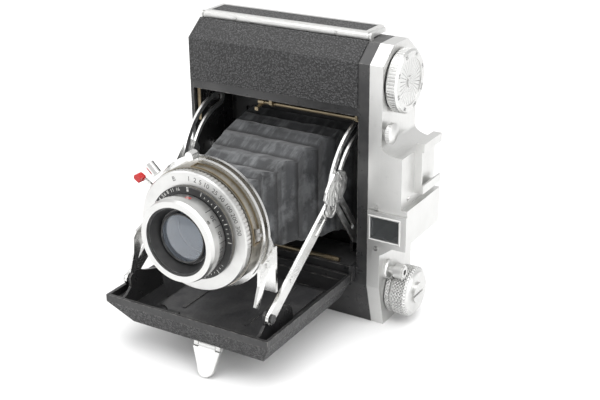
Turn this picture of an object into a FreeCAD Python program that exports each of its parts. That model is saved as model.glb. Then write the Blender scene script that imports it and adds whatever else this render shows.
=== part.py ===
"""Folding roll-film camera standing on its end with the front open. Millimetres, +Z up.

Sizes are measured from the lower left front corner of the closed body: x runs from the
base plate to the top cover, y from the front face to the back door and z up the standing
camera. Every shape is moved by -ORIGIN when it is written, so the row's origin is the
middle of the end face that the camera stands on.
"""
import FreeCAD, Part
import math
import os

V = FreeCAD.Vector
ORIGIN = V(40.0, 14.0, 0.0)

# ---- driving dimensions ----
HEIGHT = 112.0          # body, along z
WIDTH = 80.0            # body casting, along x
DEPTH = 28.0            # body and back door, along y
SEAM = 20.0             # joint line between body and back door
WALL = 1.2              # body sheet
TOP_CHAMFER = (8.0, 6.1)        # y and z legs of the chamfers at the upper end
FOOT_CHAMFER = (4.5, 17.6)      # y and z legs of the front chamfer at the lower end
GAP = 0.3               # clearance between moving neighbours
FIT = 0.05              # radial clearance of a pin in its hole
SKIN = 0.6              # leather thickness

OPEN_X = (1.4, 75.5)    # front opening
OPEN_Z = (24.0, 85.8)
LENS = (38.6, 52.5)     # lens axis, x and z
MIRROR = 76.8           # x of the right side plus x of its left twin

HINGE = (2.45, 24.35)   # door hinge, y and z
HINGE_R = 0.7
DOOR_X = (2.4, 74.2)
DOOR_Y = (-62.2, -1.8)  # front edge and hinge edge of the open door
RIM_TOP = 21.7
RIM_LOW = 18.9
DOOR_LOW = 11.8         # metal underside of the open door
DOOR_INSET = (9.6, 4.1, 3.5)    # left, right and front run of the sloping door sides
FOOT_PIN = (-57.4, 9.6)         # y and z
FOOT_TIP = (-64.0, 0.0)

SPOOL_R = 10.9
SPOOL_LOW = (14.0, 12.3)        # take-up spool, y and z
SPOOL_HIGH = (14.0, 98.8)       # supply spool, y and z
SPOOL_X = (5.9, 71.3)
FILM_PLANE = 24.0
GATE_HALF = (27.4, 20.8)        # picture half sizes along x and z
GATE_X = (6.3, 70.5)

STRUT_X = (69.3, 70.5)          # layers of the right-hand folding struts
LINK_X = (68.0, 69.0)
ARM_X = (70.8, 71.8)
PAD_X = (71.8, 72.7)
CARRIER_X = (66.95, 67.7)
WING_X = (65.6, 66.6)
BRACKET_X = (67.8, 68.8)
STRUT_FOOT = (-53.5, 25.8)      # strut pivot on the door, y and z
KNEE = (-12.5, 53.0)            # pivot of strut and slotted arm
LINK_PIVOT = (12.5, 31.6)       # link pivot on the body
LINK_TOP = (-5.5, 55.6)         # upper end of the link
ARM_STUD = (11.0, 79.2)         # stud that guides the slotted arm
PIN_R = 0.9

BEZEL_Y = -64.6         # front rim of the lens
BARREL_R = 15.6
FLANGE_REAR = -60.3     # rear of the barrel's front flange
DRUM_R = 14.9           # numbered drum behind the flange
RING_Y = (-54.4, -51.4)         # knurled speed ring
RING_R = 22.8
HOUSING_Y = (-51.1, -44.3)
HOUSING_R = 23.2
PLATE_Y = (-44.3, -43.1)        # standard plate
PLATE_R = 25.4

COVER_X = (80.0, 85.3)
HOUSE_X = 94.0
FINDER_Z = (38.0, 49.4)
FINDER_X = 96.6
PANE_X = (81.7, 93.8)             # finder panes
PANE_Z = (38.8, 47.9)
WIND_KNOB = SPOOL_LOW           # the wind knob turns the take-up spool
DIAL_KNOB = (12.6, 98.0)
BUTTON = (3.2, 80.4)            # door button
RELEASE = (6.3, 23.8)           # shutter release post
TRIPOD_R = 2.55                 # thread crest radius of the 1/4 inch tripod socket
CABLE_R = 1.1                   # thread crest radius of the cable release sockets
BACK_HINGE = (20.1, 1.3)        # y and z
BACK_PIN_R = 0.55
BODY_KNUCKLES = ((8.0, 20.0), (34.0, 46.0), (60.0, 72.0))
BACK_KNUCKLES = ((20.3, 33.7), (46.3, 59.7))
RED_WINDOW = (38.6, 52.5)       # x and z
LATCH_PIN = (10.1, 113.7)       # y and z
LATCH_X = (1.0, 74.5)
COVER_SCREWS = ((83.6, 51.6), (83.9, 34.6))     # x and z on the cover's front edge
SHOE_SCREW = (5.4, 55.0)        # y and z on the raised housing

SPAN_X = V(1, 0, 0)
SPAN_Y = V(0, 1, 0)
SPAN_Z = V(0, 0, 1)


# ---- helpers ----
def block(x, y, z):
    """Box from three (low, high) pairs."""
    return Part.makeBox(x[1] - x[0], y[1] - y[0], z[1] - z[0], V(x[0], y[0], z[0]))


def rod_x(x, yz, radius):
    """Cylinder along x between two x values."""
    return Part.makeCylinder(radius, x[1] - x[0], V(x[0], yz[0], yz[1]), SPAN_X)


def rod_y(y, xz, radius):
    """Cylinder along y between two y values."""
    return Part.makeCylinder(radius, y[1] - y[0], V(xz[0], y[0], xz[1]), SPAN_Y)


def tube_y(y, xz, outer, inner):
    return rod_y(y, xz, outer).cut(rod_y((y[0] - 1, y[1] + 1), xz, inner))


def tube_x(x, yz, outer, inner):
    return rod_x(x, yz, outer).cut(rod_x((x[0] - 1, x[1] + 1), yz, inner))


def plate_x(x, outline):
    """Flat plate of a (y, z) outline between two x values."""
    points = [V(x[0], y, z) for y, z in outline]
    face = Part.Face(Part.makePolygon(points + points[:1]))
    return face.extrude(V(x[1] - x[0], 0, 0))


def plate_y(y, outline):
    """Flat plate of an (x, z) outline between two y values."""
    points = [V(px, y[0], pz) for px, pz in outline]
    face = Part.Face(Part.makePolygon(points + points[:1]))
    return face.extrude(V(0, y[1] - y[0], 0))


def bar_x(x, start, end, width):
    """Round-ended flat bar between two (y, z) points."""
    run = (end[0] - start[0], end[1] - start[1])
    length = math.hypot(*run)
    side = (-run[1] / length * width / 2, run[0] / length * width / 2)
    outline = [(start[0] + side[0], start[1] + side[1]), (end[0] + side[0], end[1] + side[1]),
               (end[0] - side[0], end[1] - side[1]), (start[0] - side[0], start[1] - side[1])]
    ends = [rod_x(x, start, width / 2), rod_x(x, end, width / 2)]
    return plate_x(x, outline).multiFuse(ends).removeSplitter()


def between(start, end, share):
    """Point at a share of the way from one (y, z) point to another."""
    return (start[0] + (end[0] - start[0]) * share, start[1] + (end[1] - start[1]) * share)


def arc_bar(x, start, middle, end, width):
    """Round-ended flat bar along the arc through three (y, z) points."""
    points = [V(x[0], *start), V(x[0], *middle), V(x[0], *end)]
    arc = Part.Arc(*points).toShape().Curve
    centre = arc.Center
    radius = arc.Radius
    edges = []
    for half in (width / 2, -width / 2):
        offset = [centre + (p - centre) * ((radius + half) / radius) for p in points]
        edges.append(Part.Arc(*offset).toShape())
    caps = [Part.makeLine(edges[0].Vertexes[i].Point, edges[1].Vertexes[i].Point) for i in (0, 1)]
    face = Part.Face(Part.Wire(Part.__sortEdges__([edges[0], caps[1], edges[1], caps[0]])))
    body = face.extrude(V(x[1] - x[0], 0, 0))
    ends = [rod_x(x, start, width / 2), rod_x(x, end, width / 2)]
    return body.multiFuse(ends).removeSplitter()


def mirrored(shape):
    """Left-hand twin of a right-hand shape."""
    return shape.mirror(V(MIRROR / 2, 0, 0), SPAN_X)


def fuse(shapes):
    return shapes[0].multiFuse(shapes[1:]).removeSplitter()


def body_outline(inset=0.0, back=DEPTH):
    """Side outline of the closed body, drawn in by an inset, cut off at the back."""
    slope = TOP_CHAMFER[1] / TOP_CHAMFER[0]
    top_shift = inset * (math.hypot(1, slope) - slope)
    steep = FOOT_CHAMFER[0] / FOOT_CHAMFER[1]
    foot_shift = inset * (math.hypot(1, steep) - steep)
    low, high, front = inset, HEIGHT - inset, inset
    rear_y = DEPTH - inset
    top = TOP_CHAMFER[0] + inset * (math.hypot(1, slope) - 1) / slope
    side = HEIGHT - TOP_CHAMFER[1] - top_shift
    lower_y = FOOT_CHAMFER[0] * (1 - inset / FOOT_CHAMFER[1]) + inset * math.hypot(1, steep)
    points = [(lower_y, low), (front, FOOT_CHAMFER[1] + foot_shift), (front, side), (top, high)]
    if back <= SEAM:
        return points + [(back, high), (back, low)]
    return points + [(DEPTH - top, high), (rear_y, side), (rear_y, HEIGHT - side), (DEPTH - top, low)]


def knurled(shape, axis_rods):
    """Cut every rod of a list out of a rim."""
    return shape.cut(Part.makeCompound(axis_rods))


# ---- body ----
def body_shell():
    """Body sheet with its base side plate fitted into the open end."""
    outer = plate_x((0, WIDTH), body_outline(0.0, SEAM))
    inner = plate_x((1.4, WIDTH - 1.4), body_outline(WALL, SEAM))
    inner = inner.fuse(block((1.4, WIDTH - 1.4), (SEAM - 6, SEAM + 1), (WALL, HEIGHT - WALL)))
    opening = block(OPEN_X, (-1, WALL + 1), OPEN_Z)
    shell = outer.cut(inner).cut(opening)
    holes = [rod_x((WIDTH - 3, WIDTH + 1), WIND_KNOB, 3.0 + FIT), rod_x((-1, 3), SPOOL_HIGH, 2.6 + FIT),
             rod_x((-1, 3), (14.0, 56.0), 4.6), rod_x((WIDTH - 3, WIDTH + 1), BUTTON, 1.5 + FIT),
             rod_x((WIDTH - 3, WIDTH + 1), RELEASE, 1.5 + FIT), rod_x((-1, 3), SPOOL_LOW, 2.6)]
    shell = shell.cut(Part.makeCompound(holes))
    ear_left = block((0.2, 1.5), (WALL, 5.0), (22.4, 26.6))
    ear_right = block((75.6, WIDTH - 1.2), (WALL - 0.2, 3.8), (22.0, 26.6))
    bore = rod_x((0.3, WIDTH - 1.6), HINGE, HINGE_R + FIT)
    notch = block((BODY_KNUCKLES[0][0] - GAP, BODY_KNUCKLES[-1][1] + GAP), (BACK_HINGE[0] - 1.8, SEAM + 1), (-1, 2.8))
    shell = fuse([shell, ear_left, ear_right]).cut(bore).cut(notch)
    side = block((-1, 1.4), (-1, DEPTH), (-1, HEIGHT + 1))
    return Part.makeCompound([shell.common(side), shell.cut(side)])


def front_leather():
    """Skin above the opening, folded over the upper chamfer."""
    top_y, top_z = TOP_CHAMFER
    edge = HEIGHT - top_z
    shift = SKIN * 0.36
    outline = [(0.0, 89.2), (0.0, edge), (top_y, HEIGHT), (top_y - shift, HEIGHT + SKIN * 0.78),
               (-SKIN, edge + shift), (-SKIN, 89.2)]
    return plate_x((0.4, 75.2), outline)


def tripod_bush():
    flange = rod_x((-0.8, 0.0), (14.0, 56.0), 6.5)
    barrel = rod_x((0.0, 3.2), (14.0, 56.0), 4.55)
    return fuse([flange, barrel]).cut(rod_x((-1, 2.8), (14.0, 56.0), TRIPOD_R))


def film_gate():
    """Frame behind the bellows with two film rails."""
    plate = block(GATE_X, (22.6, 23.7), (30.8, 81.4))
    cx, cz = LENS
    window = block((cx - GATE_HALF[0], cx + GATE_HALF[0]), (20, 26), (cz - GATE_HALF[1], cz + GATE_HALF[1]))
    rails = [block((x, x + 1.0), (23.7, FILM_PLANE), (30.8, 81.4)) for x in (GATE_X[0], GATE_X[1] - 1.0)]
    return fuse([plate] + rails).cut(window)


def chamber_wall(spool, sign):
    """Light-trap wall curved round a spool."""
    centre_y, centre_z = spool
    ring = tube_x((3.4, 74.6), spool, SPOOL_R + 1.5, SPOOL_R + 0.7)
    upright = sorted((centre_z + sign * 6.0, centre_z + sign * 16))
    return ring.common(block((3, 75), (centre_y - 9.5, centre_y + 8.2), upright))


def chamber_walls():
    return Part.makeCompound([chamber_wall(SPOOL_LOW, 1), chamber_wall(SPOOL_HIGH, -1)])


def roller(z):
    barrel = rod_x((7.6, 69.2), (22.3, z), 1.3)
    return fuse([barrel, rod_x((6.6, 70.2), (22.3, z), 0.7)])


# ---- top cover ----
def top_cover():
    """Cover plate with the raised middle housing."""
    slab = plate_x(COVER_X, body_outline(0.0))
    low = [(COVER_X[1] - 0.5, 31.5), (86.4, 32.4), (92.6, 37.0), (HOUSE_X, 38.2)]
    curve = []
    for step in range(9):
        turn = math.radians(90.0 * step / 8)
        curve.append((92.4 - 7.1 * math.sin(turn), 76.2 - 3.6 * math.cos(turn)))
    high = [(HOUSE_X, 72.4)] + curve + [(COVER_X[1] - 0.5, 76.2)]
    house = plate_y((-0.4, DEPTH + 0.2), low + high)
    finder = block((80.9, HOUSE_X + 1), (-2, DEPTH + 2), (FINDER_Z[0] - 0.05, FINDER_Z[1] + 0.05))
    holes = [rod_x((79, 90), WIND_KNOB, 3.0 + FIT), rod_x((79, 90), BUTTON, 1.5 + FIT),
             rod_x((79, 90), RELEASE, 1.5 + FIT), rod_x((83.5, 90), DIAL_KNOB, 2.0 + FIT),
             rod_x((HOUSE_X - 1.5, HOUSE_X + 1), SHOE_SCREW, 1.0)]
    holes += [rod_y((-2, 1.6), spot, 1.0) for spot in COVER_SCREWS]
    return fuse([slab, house]).cut(finder).cut(Part.makeCompound(holes))


def viewfinder_tube():
    """Rectangular finder tunnel with a raised rim at the front."""
    z0, z1 = FINDER_Z
    body = block((81.0, FINDER_X), (0.0, DEPTH + 0.4), (z0, z1))
    rim = block((80.6, FINDER_X + 0.2), (-1.4, -0.4), (z0 - 1.8, z1 + 0.8))
    hood = block((HOUSE_X, FINDER_X), (-0.4, DEPTH + 0.4), (z0 + 0.2, z1 + 3.0))
    neck = block((81.0, HOUSE_X), (-0.4, 0.0), (z0, z1))
    tunnel = block(PANE_X, (-3, DEPTH + 3), PANE_Z)
    return fuse([body, rim, hood, neck]).cut(tunnel)


def viewfinder_lenses():
    """Front and rear panes of the finder."""
    front = block(PANE_X, (-0.6, 0.4), PANE_Z)
    rear = block(PANE_X, (DEPTH - 1.0, DEPTH), PANE_Z)
    return Part.makeCompound([front, rear])


def accessory_shoe():
    """Channel that takes a standard 18.6 mm foot, open towards the back."""
    z0, z1 = 55.7, 75.5
    base = block((HOUSE_X, HOUSE_X + 0.9), (10.5, 26.0), (z0, 72.4))
    post = block((HOUSE_X, HOUSE_X + 0.9), (10.5, 26.0), (72.0, z1))
    walls = [block((HOUSE_X + 0.9, HOUSE_X + 3.7), (10.5, 26.0), z) for z in ((z0, z0 + 0.55), (z1 - 0.55, z1))]
    lips = [block((HOUSE_X + 2.9, HOUSE_X + 3.7), (10.5, 26.0), z) for z in ((z0, z0 + 3.3), (z1 - 3.3, z1))]
    stop = block((HOUSE_X + 0.9, HOUSE_X + 2.9), (10.5, 11.3), (z0 + 0.5, z1 - 0.5))
    return fuse([base, post] + walls + lips + [stop])


def cover_screws():
    screws = []
    for x, z in COVER_SCREWS:
        head = rod_y((-0.7, 1.5), (x, z), 1.0)
        screws.append(head.cut(block((x - 1.2, x + 1.2), (-1, -0.35), (z - 0.18, z + 0.18))))
    y, z = SHOE_SCREW
    head = rod_x((HOUSE_X - 1.4, HOUSE_X + 0.3), (y, z), 1.0)
    screws.append(head.cut(block((HOUSE_X, HOUSE_X + 1), (y - 1.2, y + 1.2), (z - 0.18, z + 0.18))))
    return Part.makeCompound(screws)


# ---- finder side fittings ----
def release_collar():
    collar = rod_x((COVER_X[1], COVER_X[1] + 1.6), RELEASE, 3.8)
    collar = collar.makeChamfer(0.5, [collar.Edges[0]])
    return collar.cut(rod_x((80, 90), RELEASE, 1.5 + FIT))


def release_button():
    """Plunger with a wide head and a threaded cable socket."""
    stem = rod_x((79.2, 90.6), RELEASE, 1.5)
    head = rod_x((89.4, 92.6), RELEASE, 2.9)
    ring = rod_x((92.6, 93.2), RELEASE, 2.3)
    foot = rod_x((77.2, 78.2), RELEASE, 2.3).fuse(rod_x((78.2, 79.2), RELEASE, 1.5))
    return fuse([stem, head, ring, foot]).cut(rod_x((89.6, 94), RELEASE, CABLE_R))


def door_button():
    """Domed button with a milled edge, 1.3 mm of travel above the cover."""
    low, high = COVER_X[1] + 1.6, COVER_X[1] + 4.4
    dome = Part.makeSphere(7.2, V(high - 7.2, *BUTTON))
    cap = rod_x((low, high), BUTTON, 4.0).common(dome)
    notches = []
    for step in range(28):
        turn = math.radians(360.0 * step / 28)
        spot = (BUTTON[0] + 4.1 * math.cos(turn), BUTTON[1] + 4.1 * math.sin(turn))
        notches.append(rod_x((low - 1, high), spot, 0.25))
    stem = rod_x((77.6, low + 0.4), BUTTON, 1.5)
    flange = rod_x((76.9, 77.6), BUTTON, 1.8)
    return fuse([knurled(cap, notches), stem, flange])


def dial_knob():
    """Wide low film reminder dial with a knurled edge."""
    low, high = COVER_X[1] + 0.3, COVER_X[1] + 5.0
    disc = rod_x((low, high), DIAL_KNOB, 12.0)
    disc = disc.makeChamfer(0.7, [disc.Edges[0], disc.Edges[2]])
    notches = []
    for step in range(60):
        turn = math.radians(360.0 * step / 60)
        spot = (DIAL_KNOB[0] + 12.15 * math.cos(turn), DIAL_KNOB[1] + 12.15 * math.sin(turn))
        notches.append(rod_x((low + 0.9, high - 0.9), spot, 0.35))
    stem = rod_x((83.6, low + 0.5), DIAL_KNOB, 2.0)
    dish = rod_x((high - 0.3, high + 1), DIAL_KNOB, 9.0)
    boss = rod_x((high - 0.5, high + 0.1), DIAL_KNOB, 2.2)
    return fuse([knurled(disc, notches).cut(dish), stem, boss])


def wind_knob():
    """Tall wind knob on a flange, with its shaft and spool key."""
    low = COVER_X[1] + 0.3
    flange = rod_x((low, low + 1.8), WIND_KNOB, 9.6)
    flange = flange.makeChamfer(0.6, [flange.Edges[0]])
    waist = rod_x((low + 1.8, low + 2.8), WIND_KNOB, 8.6)
    grip = rod_x((low + 2.8, low + 8.0), WIND_KNOB, 10.0)
    cone = Part.makeCone(10.0, 8.2, 1.5, V(low + 8.0, *WIND_KNOB), SPAN_X)
    notches = []
    for step in range(48):
        turn = math.radians(360.0 * step / 48)
        spot = (WIND_KNOB[0] + 10.1 * math.cos(turn), WIND_KNOB[1] + 10.1 * math.sin(turn))
        notches.append(rod_x((low + 2.7, low + 7.6), spot, 0.34))
    hub = rod_x((low + 9.0, low + 10.3), WIND_KNOB, 4.2)
    slot = block((low + 9.7, low + 11), (WIND_KNOB[0] - 5, WIND_KNOB[0] + 5), (WIND_KNOB[1] - 0.5, WIND_KNOB[1] + 0.5))
    shaft = rod_x((SPOOL_X[1] + 0.4, low + 1), WIND_KNOB, 3.0)
    key = block((SPOOL_X[1] - 1.8, SPOOL_X[1] + 1), (WIND_KNOB[0] - 2.6, WIND_KNOB[0] + 2.6),
                (WIND_KNOB[1] - 0.6, WIND_KNOB[1] + 0.6))
    return fuse([flange, waist, knurled(grip.fuse(cone), notches), hub.cut(slot), shaft, key])


def takeup_spool():
    """Empty film spool with keyed ends."""
    centre = SPOOL_LOW
    flanges = [rod_x((SPOOL_X[0], SPOOL_X[0] + 0.7), centre, SPOOL_R), rod_x((SPOOL_X[1] - 0.7, SPOOL_X[1]), centre, SPOOL_R)]
    core = rod_x((SPOOL_X[0], SPOOL_X[1]), centre, 5.6)
    slot = block((SPOOL_X[0] + 12, SPOOL_X[1] - 12), (centre[0] - 0.5, centre[0] + 0.5), (centre[1], centre[1] + 6))
    key = block((SPOOL_X[1] - 2.4, SPOOL_X[1] + 1), (centre[0] - 2.8, centre[0] + 2.8), (centre[1] - 0.8, centre[1] + 0.8))
    socket = rod_x((SPOOL_X[0] - 1, SPOOL_X[0] + 3), centre, 2.6 + FIT)
    return fuse(flanges + [core]).cut(slot).cut(key).cut(socket)


def spool_stub():
    """Fixed pin in the base plate that carries the take-up spool."""
    return fuse([rod_x((-0.7, 0.0), SPOOL_LOW, 4.0), rod_x((0.0, SPOOL_X[0] + 2.6), SPOOL_LOW, 2.6)])


def supply_pin():
    """Pull-out pin on the base plate that holds the full spool."""
    knob = rod_x((-3.6, -0.3), SPOOL_HIGH, 5.4)
    notches = []
    for step in range(30):
        turn = math.radians(360.0 * step / 30)
        spot = (SPOOL_HIGH[0] + 5.5 * math.cos(turn), SPOOL_HIGH[1] + 5.5 * math.sin(turn))
        notches.append(rod_x((-3.0, -0.9), spot, 0.3))
    shaft = rod_x((-1.0, 8.4), SPOOL_HIGH, 2.6)
    return fuse([knurled(knob, notches), shaft])


def catch_rod():
    """Brass rod across the top of the opening, turned by the door button, with a hook."""
    centre = (3.2, 83.7)
    rod = rod_x((31.0, 75.2), centre, 0.85)
    sleeve = rod_x((30.4, 33.0), centre, 1.25)
    hook = plate_x((31.0, 32.4), [(2.6, 82.9), (-1.2, 82.7), (-1.2, 81.4), (-0.3, 81.4), (0.2, 82.1), (3.6, 82.5)])
    lever = plate_x((74.6, 75.2), [(2.4, 84.0), (2.6, 79.2), (4.0, 79.2), (4.0, 84.0)])
    return fuse([rod, sleeve, hook, lever])


def rod_bearings():
    """Two eyes under the upper frame band that carry the brass rod."""
    eyes = []
    for x in ((36.0, 37.2), (73.4, 74.4)):
        eye = fuse([block(x, (WALL, 4.2), (83.6, 86.6)), rod_x(x, (3.2, 83.7), 1.3)])
        eyes.append(eye.cut(rod_x((x[0] - 1, x[1] + 1), (3.2, 83.7), 0.85 + FIT)))
    return Part.makeCompound(eyes)


def spring_tube():
    """Tube of the door spring, in line with the door hinge, on two saddles."""
    tube = rod_x((10.2, 66.6), HINGE, 1.05)
    rings = [tube_x((60.4 + 0.9 * i, 61.0 + 0.9 * i), HINGE, 1.25, 1.0) for i in range(6)]
    saddles = [block((x, x + 3.0), (WALL, 2.3), (22.4, 24.2)) for x in (16.0, 52.0)]
    return fuse([tube] + rings + saddles)


def link_carrier():
    """Lug on the lower light trap with the pivot of the right-hand link."""
    lug = plate_x(CARRIER_X, [(11.2, 22.0), (16.0, 22.0), (14.4, 33.2), (10.8, 33.2)])
    lug = lug.cut(rod_x((0, WIDTH), SPOOL_LOW, SPOOL_R + 1.5))
    return fuse([lug, rod_x((CARRIER_X[1] - 0.2, LINK_X[1]), LINK_PIVOT, PIN_R)])


def side_brackets():
    """Studs that the slotted arms slide on, and the lugs that carry the links."""
    right = fuse([block((73.5, 78.6), (8.0, 15.0), (75.6, 82.4)), rod_x((72.1, 74.0), ARM_STUD, 1.3)])
    left = mirrored(right.common(block((60, 75.4), (0, 30), (0, 112))))
    return Part.makeCompound([right, left, link_carrier(), mirrored(link_carrier())])


# ---- door ----
def door_slope(inset, low):
    """Sloping lower volume of the door, drawn in by an inset."""
    x0, x1 = DOOR_X[0] + inset, DOOR_X[1] - inset
    y0, y1 = DOOR_Y[0] + inset, DOOR_Y[1] - inset
    left, right, front = DOOR_INSET

    def ring(z, share):
        a, b, c = x0 + left * share, x1 - right * share, y0 + front * share
        corners = [V(a, c, z), V(b, c, z), V(b, y1, z), V(a, y1, z)]
        return Part.makePolygon(corners + corners[:1])

    return Part.makeLoft([ring(low, 1.0), ring(RIM_LOW, 0.0)], True, True)


def door_rim(inset, low, high):
    return block((DOOR_X[0] + inset, DOOR_X[1] - inset), (DOOR_Y[0] + inset, DOOR_Y[1] - inset), (low, high))


def door_shell():
    """Pressed tray with goose-neck hinge arms."""
    outer = door_slope(SKIN, DOOR_LOW).fuse(door_rim(0.0, RIM_LOW, RIM_TOP))
    inner = door_slope(SKIN + WALL, DOOR_LOW + WALL).fuse(door_rim(WALL, RIM_LOW, RIM_TOP + 1))
    tray = outer.cut(inner)
    hy, hz = HINGE
    neck = [(-3.0, 19.0), (-0.4, 19.0), (-0.4, hz + 0.1), (hy - 1.0, hz + 0.1), (hy, hz - 0.5), (hy + 0.8, hz + 0.6),
            (hy, hz + 1.2), (-2.2, hz + 1.2), (-3.0, hz - 0.5)]
    parts = [tray]
    for x in ((73.7, 75.2), (1.9, 3.2)):
        parts += [plate_x(x, neck), rod_x(x, HINGE, 1.2)]
    parts += [block((72.8, 75.2), (-3.0, -1.9), (19.0, 21.7))]
    parts += [rod_x((74.0, 78.2), HINGE, HINGE_R), rod_x((0.4, 2.5), HINGE, HINGE_R)]
    return fuse(parts)


def door_leather():
    """Skin over the sloping sides and the face of the door."""
    skin = door_slope(0.0, DOOR_LOW - SKIN).cut(door_slope(SKIN, DOOR_LOW))
    return skin.common(block((0, WIDTH), (DOOR_Y[0] - 1, DOOR_Y[1] - 1.0), (5, RIM_LOW)))


def door_panel():
    """Low pressed panel on the door floor with ribs and a curved front edge."""
    floor = DOOR_LOW + WALL
    base = block((15.2, 63.9), (-46.0, -6.0), (floor, floor + 0.5))
    nose = Part.makeCylinder(40.0, 0.5, V(LENS[0] + 2.6, -14.0, floor), SPAN_Z)
    nose = nose.common(block((15.2, 63.9), (-54.0, -46.0), (floor, floor + 1)))
    ribs = [block((x, x + 1.2), (-44.0, -8.0), (floor + 0.4, floor + 0.9)) for x in (24.0, 52.0)]
    return fuse([base, nose] + ribs)


def door_brackets():
    """Black plates that carry the strut pivots, with a rivet each."""
    outline = [(-60.6, 13.2), (-60.2, 20.6), (-57.8, 21.4), (-55.3, 23.4), (-55.3, 27.4), (-53.8, 28.6),
               (-51.0, 29.0), (-46.0, 26.8), (-38.6, 24.4), (-36.6, 21.5), (-35.5, 13.2)]
    plate = plate_x(BRACKET_X, outline)
    flange = block((64.2, BRACKET_X[1]), (-56.0, -37.5), (DOOR_LOW + WALL, DOOR_LOW + WALL + 0.7))
    pivot = rod_x((BRACKET_X[1] - 0.2, STRUT_X[1] + 0.6), STRUT_FOOT, PIN_R)
    head = rod_x((STRUT_X[1] + 0.2, STRUT_X[1] + 0.8), STRUT_FOOT, 1.7)
    rivet = rod_x((BRACKET_X[1] - 0.4, BRACKET_X[1] + 0.2), (-41.3, 22.4), 1.2)
    room = door_slope(SKIN + WALL, DOOR_LOW + WALL).fuse(door_rim(WALL, RIM_LOW, 45.0))
    right = fuse([plate, flange, pivot, head, rivet]).common(room)
    left = mirrored(fuse([plate, pivot, head, rivet])).common(room)
    return Part.makeCompound([right, left])


def door_lip():
    """Catch plate inside the front rim for the hook of the brass rod."""
    tongue = block((28.6, 33.4), (-60.9, -57.8), (DOOR_LOW + WALL, 20.6))
    loop = block((29.8, 32.2), (-60.0, -57.0), (17.2, 19.4))
    room = door_slope(SKIN + WALL, DOOR_LOW + WALL).fuse(door_rim(WALL, RIM_LOW, RIM_TOP))
    return tongue.cut(loop).common(room)


def foot_hinge():
    plate = block((39.6, 51.0), (-58.3, -53.0), (10.8, 11.2))
    ears = [fuse([rod_x(x, FOOT_PIN, 1.1), block(x, (-58.3, -56.4), (9.9, 11.0))]) for x in ((39.6, 41.4), (49.2, 51.0))]
    pin = rod_x((39.6, 51.0), FOOT_PIN, 0.55)
    return fuse([plate] + ears + [pin])


def foot():
    """Tongue that props the open door, tapering to a rounded tip."""
    run = (FOOT_TIP[0] - FOOT_PIN[0], FOOT_TIP[1] - FOOT_PIN[1])
    length = math.hypot(*run)
    along = (run[0] / length, run[1] / length)
    normal = (along[1], -along[0])
    top, tip = (39.0, 51.2), 47.4

    def at(x, s):
        return V(x, FOOT_PIN[0] + along[0] * s - normal[0] * 0.6, FOOT_PIN[1] + along[1] * s - normal[1] * 0.6)

    end = length - 0.45
    edges = [Part.makeLine(at(top[0] + 0.3, 1.4), at(top[1] - 0.2, 1.4)),
             Part.makeLine(at(top[1] - 0.2, 1.4), at(tip + 3.4, end - 2.6)),
             Part.Arc(at(tip + 3.4, end - 2.6), at(tip, end), at(tip - 3.4, end - 2.6)).toShape(),
             Part.makeLine(at(tip - 3.4, end - 2.6), at(top[0] + 0.3, 1.4))]
    face = Part.Face(Part.Wire(Part.__sortEdges__(edges)))
    blade = face.extrude(V(0, normal[0] * 1.2, normal[1] * 1.2))
    barrel = rod_x((41.6, 49.0), FOOT_PIN, 1.1)
    tab = bar_x((41.6, 49.0), FOOT_PIN, (FOOT_PIN[0] + along[0] * 1.8, FOOT_PIN[1] + along[1] * 1.8), 1.2)
    return fuse([blade, barrel, tab]).cut(rod_x((41, 50), FOOT_PIN, 0.55 + FIT))


# ---- lens and shutter ----
def standard_plate():
    """Chrome plate round the shutter with legs and side wings that ride on the door."""
    cx, cz = LENS
    disc = rod_y(PLATE_Y, LENS, PLATE_R)
    legs = plate_y(PLATE_Y, [(MIRROR - WING_X[1], 46.0), (MIRROR - WING_X[1], 31.0), (MIRROR - WING_X[0] + 4.0, 31.0),
                             (MIRROR - WING_X[0] + 7.0, 40.0), (WING_X[0] - 7.0, 40.0), (WING_X[0] - 4.0, 31.0),
                             (WING_X[1], 31.0), (WING_X[1], 46.0), (cx + 18.0, cz + 17.0), (cx - 18.0, cz + 17.0)])
    wing = plate_x(WING_X, [(PLATE_Y[1], 49.0), (-52.4, 45.8), (-54.3, 44.0), (-54.8, 38.0), (-57.6, 31.0), (-55.4, 29.6),
                            (-52.0, 36.0), (-50.0, 39.6), (PLATE_Y[1], 40.2)])
    web = block((WING_X[0] - 0.5, WING_X[1]), (PLATE_Y[0], PLATE_Y[1]), (31.0, 49.0))
    rivet = rod_x((WING_X[1] - 0.2, WING_X[1] + 0.5), (-49.2, 44.2), 1.4)
    right = fuse([wing, web, rivet])
    return fuse([disc, legs, right, mirrored(right)]).cut(rod_y((-50, -40), LENS, 14.0))


def shutter_housing():
    drum = rod_y(HOUSING_Y, LENS, HOUSING_R)
    nose = rod_y((RING_Y[0] - 0.6, HOUSING_Y[0]), LENS, 17.4)
    cavity = rod_y((RING_Y[0] - 1, HOUSING_Y[1] - 1.2), LENS, 11.0)
    rear = rod_y((HOUSING_Y[1] - 2, HOUSING_Y[1] + 1), LENS, 9.0)
    return fuse([drum, nose]).cut(cavity).cut(rear)


def band_sector(y, radii, angles):
    """Part of a ring round the lens axis between two angles in degrees."""
    reach = radii[0] * 2
    a, b = (math.radians(v) for v in angles)
    points = [LENS, (LENS[0] + reach * math.cos(a), LENS[1] + reach * math.sin(a))]
    middle = (a + b) / 2
    points += [(LENS[0] + reach * math.cos(middle), LENS[1] + reach * math.sin(middle)),
               (LENS[0] + reach * math.cos(b), LENS[1] + reach * math.sin(b))]
    return tube_y(y, LENS, radii[0], radii[1]).common(plate_y((y[0] - 1, y[1] + 1), points))


def shutter_band():
    """Brass-edged guide slot on the shutter's side."""
    frame = band_sector((-50.7, -46.9), (HOUSING_R + 0.4, HOUSING_R), (-4, 96))
    return frame.cut(band_sector((-50.3, -47.3), (HOUSING_R + 1, HOUSING_R - 1), (-2.6, 94.6)))


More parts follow.
